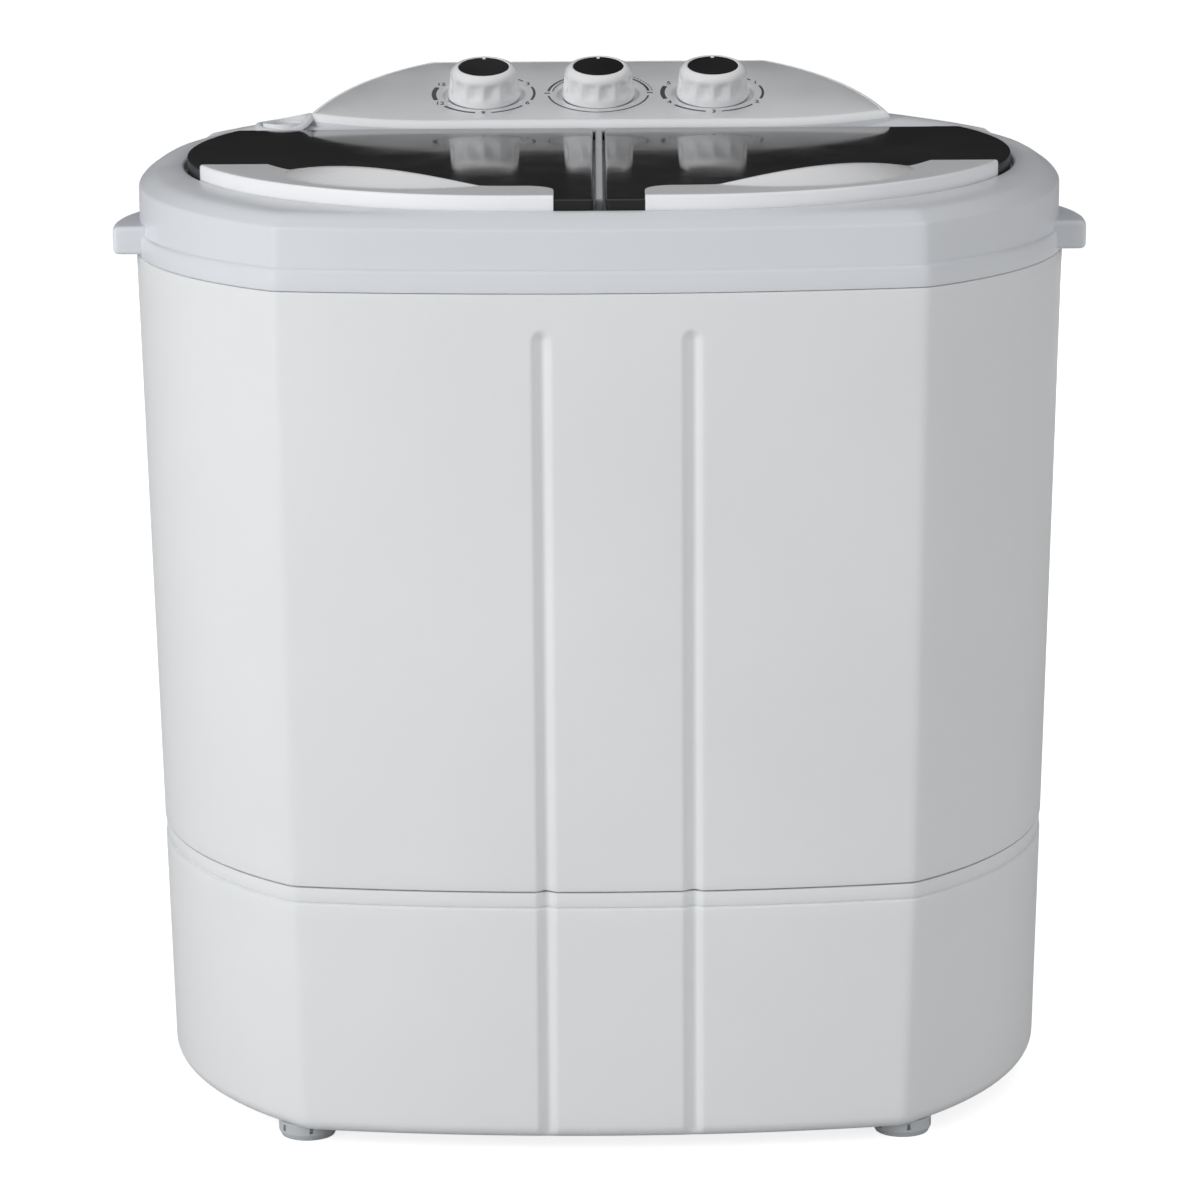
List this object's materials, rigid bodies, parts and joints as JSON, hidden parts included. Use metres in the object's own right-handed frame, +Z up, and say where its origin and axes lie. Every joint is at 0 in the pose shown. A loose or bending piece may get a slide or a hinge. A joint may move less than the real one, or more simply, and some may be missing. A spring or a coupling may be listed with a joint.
{
  "type": "portable mini washer",
  "caption": "Compact twin-tub washing machine: white moulded body, two black tilting lids with white grips, sloping panel with rotary controls, wash tub and spin basket.",
  "frame": {"origin": "on the floor, under the centre of the bounding box", "axes": "+Z up, -Y towards the user at the front, +X to the user's right"},
  "size_m": [0.52, 0.38, 0.5394],
  "materials": {
    "shell_white": "satin moulded white",
    "panel_silver": "pale silver-grey fascia",
    "lid_black": "glossy smoked black",
    "trim_white": "satin white",
    "knob_white": "satin white",
    "knob_black": "satin black",
    "tub_plastic": "pale blue-white moulded",
    "grey_plastic": "moulded grey",
    "motor_metal": "dark grey paint",
    "steel": "turned steel",
    "zinc_screw": "zinc plated",
    "cast_alloy": "cast",
    "rubber_black": "moulded rubber",
    "foot_grey": "moulded grey rubber",
    "filter_mesh": "fine net",
    "can_silver": "drawn can"
  },
  "bodies": {
    "machine": {"base_housing": "shell_white", "feet": "foot_grey", "cabinet": "shell_white", "rear_service_cover": "shell_white", "rear_cover_screws": "zinc_screw", "top_frame": "shell_white", "panel_housing": "shell_white", "panel_fascia": "panel_silver", "panel_screws": "zinc_screw", "wash_timer_body": "grey_plastic", "selector_switch_body": "grey_plastic", "spin_timer_body": "grey_plastic", "wash_tub": "tub_plastic", "spin_outer_tub": "tub_plastic", "water_inlet": "grey_plastic", "wash_bearing_housing": "cast_alloy", "pulsator_seal": "rubber_black", "drive_belt": "rubber_black", "wash_motor": "motor_metal", "wash_motor_bracket": "steel", "spin_motor": "motor_metal", "spin_motor_mounts": "rubber_black", "spin_shaft_bellows": "rubber_black", "drain_valve_housing": "grey_plastic", "drain_pipe": "grey_plastic", "drain_outlet": "grey_plastic", "capacitor": "can_silver", "capacitor_clip": "steel", "cord_gland": "rubber_black", "brake_post": "steel"},
    "wash_lid": {"wash_lid_plate": "lid_black", "wash_lid_trim": "trim_white"},
    "spin_lid": {"spin_lid_plate": "lid_black", "spin_lid_trim": "trim_white"},
    "wash_timer_control": {"wash_knob": "knob_white", "wash_knob_cap": "knob_black", "wash_timer_shaft": "steel"},
    "selector_control": {"selector_knob": "knob_white", "selector_knob_cap": "knob_black", "selector_shaft": "steel"},
    "spin_timer_control": {"spin_knob": "knob_white", "spin_knob_cap": "knob_black", "spin_timer_shaft": "steel"},
    "lint_filter": {"lint_filter_frame": "trim_white", "lint_filter_net": "filter_mesh"},
    "pulsator_rotor": {"pulsator": "tub_plastic", "pulsator_shaft": "steel", "pulsator_pulley": "grey_plastic", "pulsator_screw": "zinc_screw"},
    "wash_motor_rotor": {"wash_motor_shaft": "steel", "motor_pulley": "cast_alloy"},
    "spin_rotor": {"spin_basket": "tub_plastic", "spin_shaft": "steel", "brake_drum": "cast_alloy"},
    "brake_arm": {"brake_lever": "steel", "brake_pad": "rubber_black"},
    "drain_valve": {"drain_plug": "rubber_black"},
    "press_cover": {"press_plate": "trim_white"}
  },
  "joints": [
    {"name": "wash_lid_hinge", "type": "hinge", "parent": "machine", "child": "wash_lid", "pos_m": [-0.11, 0.09107, 0.50063], "axis": [-1, 0, 0], "range_deg": [0, 95]},
    {"name": "spin_lid_hinge", "type": "hinge", "parent": "machine", "child": "spin_lid", "pos_m": [0.11, 0.09107, 0.50063], "axis": [-1, 0, 0], "range_deg": [0, 95]},
    {"name": "wash_timer_turn", "type": "hinge", "parent": "machine", "child": "wash_timer_control", "pos_m": [-0.0646, 0.14, 0.51937], "axis": [0, 0.2756, -0.9613], "range_deg": [0, 300]},
    {"name": "selector_turn", "type": "hinge", "parent": "machine", "child": "selector_control", "pos_m": [0, 0.14, 0.51937], "axis": [0, 0.2756, -0.9613], "range_deg": [0, 90]},
    {"name": "spin_timer_turn", "type": "hinge", "parent": "machine", "child": "spin_timer_control", "pos_m": [0.0646, 0.14, 0.51937], "axis": [0, 0.2756, -0.9613], "range_deg": [0, 300]},
    {"name": "lint_filter_lift", "type": "slide", "parent": "machine", "child": "lint_filter", "axis": [0, 0, 1], "range_m": [0, 0.03]},
    {"name": "pulsator_turn", "type": "hinge", "parent": "machine", "child": "pulsator_rotor", "pos_m": [-0.113, -0.028, 0.14], "axis": [0, 0, 1], "continuous": true},
    {"name": "wash_motor_turn", "type": "hinge", "parent": "machine", "child": "wash_motor_rotor", "pos_m": [-0.02, 0.105, 0.1], "axis": [0, 0, 1], "continuous": true},
    {"name": "spin_basket_turn", "type": "hinge", "parent": "machine", "child": "spin_rotor", "pos_m": [0.112, -0.018, 0.1], "axis": [0, 0, 1], "continuous": true},
    {"name": "brake_arm_turn", "type": "hinge", "parent": "machine", "child": "brake_arm", "pos_m": [0.165, 0.028, 0.109], "axis": [0, 0, 1], "range_deg": [0, 2]},
    {"name": "drain_plug_lift", "type": "slide", "parent": "machine", "child": "drain_valve", "axis": [0, 0, 1], "range_m": [0, 0.008]},
    {"name": "press_cover_slide", "type": "slide", "parent": "spin_rotor", "child": "press_cover", "axis": [0, 0, 1], "range_m": [0, 0.19]}
  ],
  "couplings": [
    {"joint": "wash_motor_turn", "follows": "pulsator_turn", "ratio": 4.4},
    {"joint": "brake_arm_turn", "follows": "spin_lid_hinge", "ratio": 0.02105},
    {"joint": "drain_plug_lift", "follows": "selector_turn", "m_per_rad": 0.00509}
  ]
}
